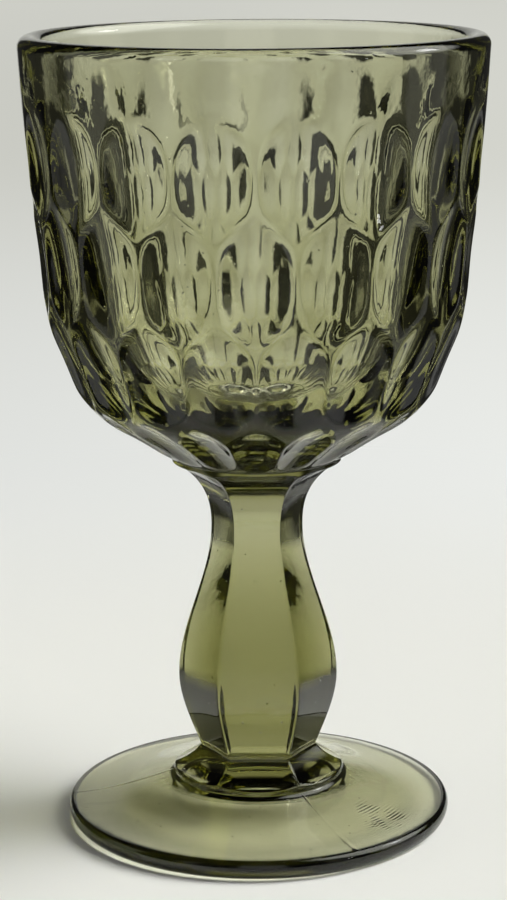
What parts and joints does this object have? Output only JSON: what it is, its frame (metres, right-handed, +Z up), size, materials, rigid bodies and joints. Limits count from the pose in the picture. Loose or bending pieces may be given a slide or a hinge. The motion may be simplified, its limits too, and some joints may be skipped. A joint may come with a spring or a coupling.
{
  "type": "water goblet",
  "caption": "Stemmed water goblet of olive green pressed glass: round bowl with staggered thumbprints, six-sided baluster stem and a round foot.",
  "frame": {"origin": "centre of the foot, on the table it stands on", "axes": "+Z up along the goblet's axis; -Y is the side that the picture shows, with one flat of the stem facing it"},
  "size_m": [0.0874, 0.0874, 0.152],
  "materials": {
    "glass": "fire-polished, smooth, tinted in the mass"
  },
  "bodies": {
    "root": {"bowl": "glass", "bowl_collar": "glass", "stem": "glass", "foot_collar": "glass", "foot": "glass"}
  },
  "joints": []
}
